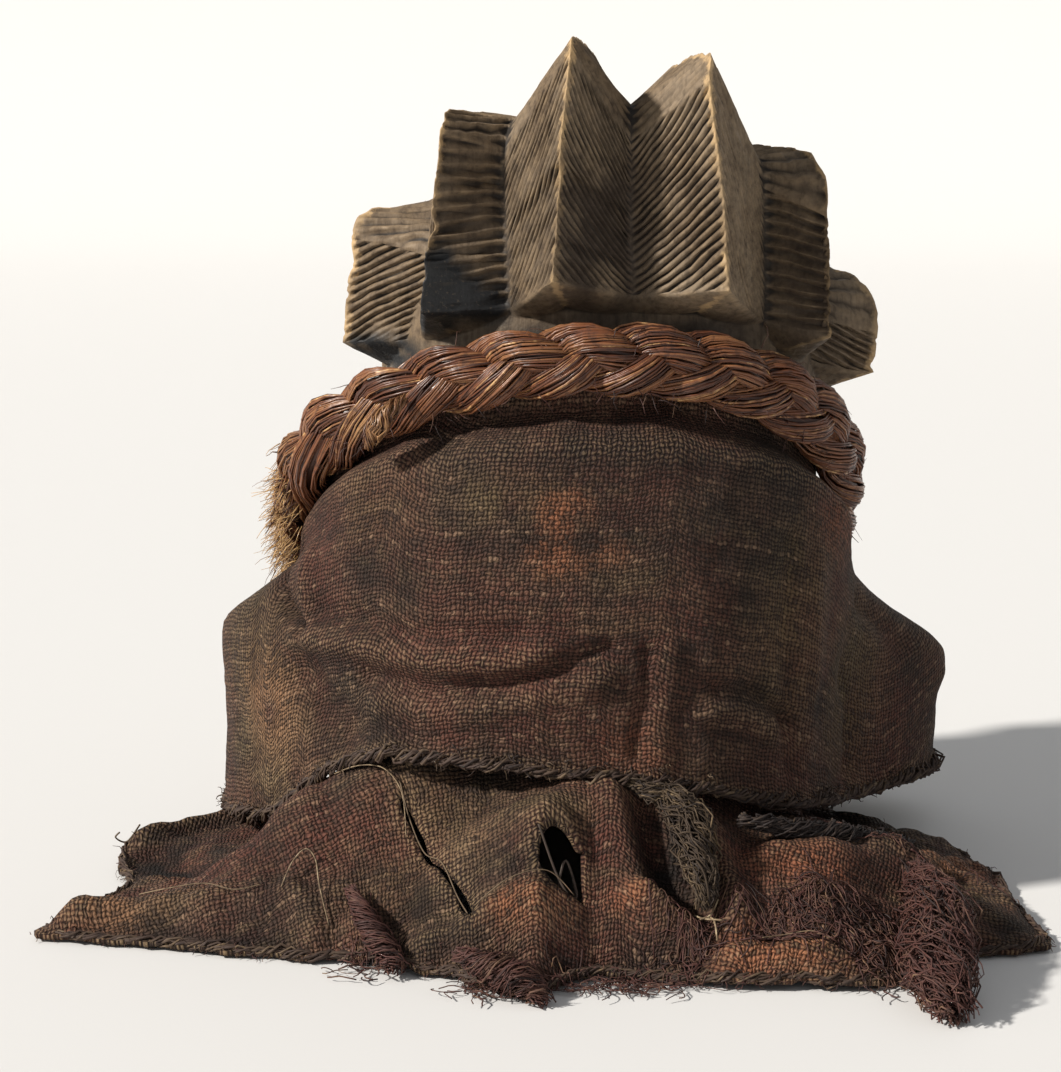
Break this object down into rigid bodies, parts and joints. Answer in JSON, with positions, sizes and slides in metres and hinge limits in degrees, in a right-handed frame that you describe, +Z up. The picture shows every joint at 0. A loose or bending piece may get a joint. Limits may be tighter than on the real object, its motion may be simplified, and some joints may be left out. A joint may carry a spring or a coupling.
{
  "type": "punu mask",
  "caption": "Hollow carved wooden face mask with a finned, ribbed coiffure, a plaited raffia cord round its rim, and a woven hood that spreads on the floor as its base.",
  "frame": {"origin": "middle of the footprint, on the floor that the ground cloth lies on", "axes": "+Z up, +Y out of the carved face, -Y the back of the head with its fins, +X to the right of a viewer who looks at the back"},
  "size_m": [0.3738, 0.3077, 0.338],
  "materials": {
    "wood": "worn, grey brown, with dark grooves and pale edges",
    "raffia": "glossy red brown plaited fibre",
    "hood_weave": "dark coarse raffia weave with soot",
    "ground_weave": "brown coarse raffia weave, frayed",
    "fibre": "matted loose fibre"
  },
  "bodies": {
    "root": {"carved_mask": "wood", "rim_braid": "raffia", "hood_cloth": "hood_weave", "ground_cloth": "ground_weave", "knotted_strip": "ground_weave", "fibre_tassel": "fibre"}
  },
  "joints": []
}
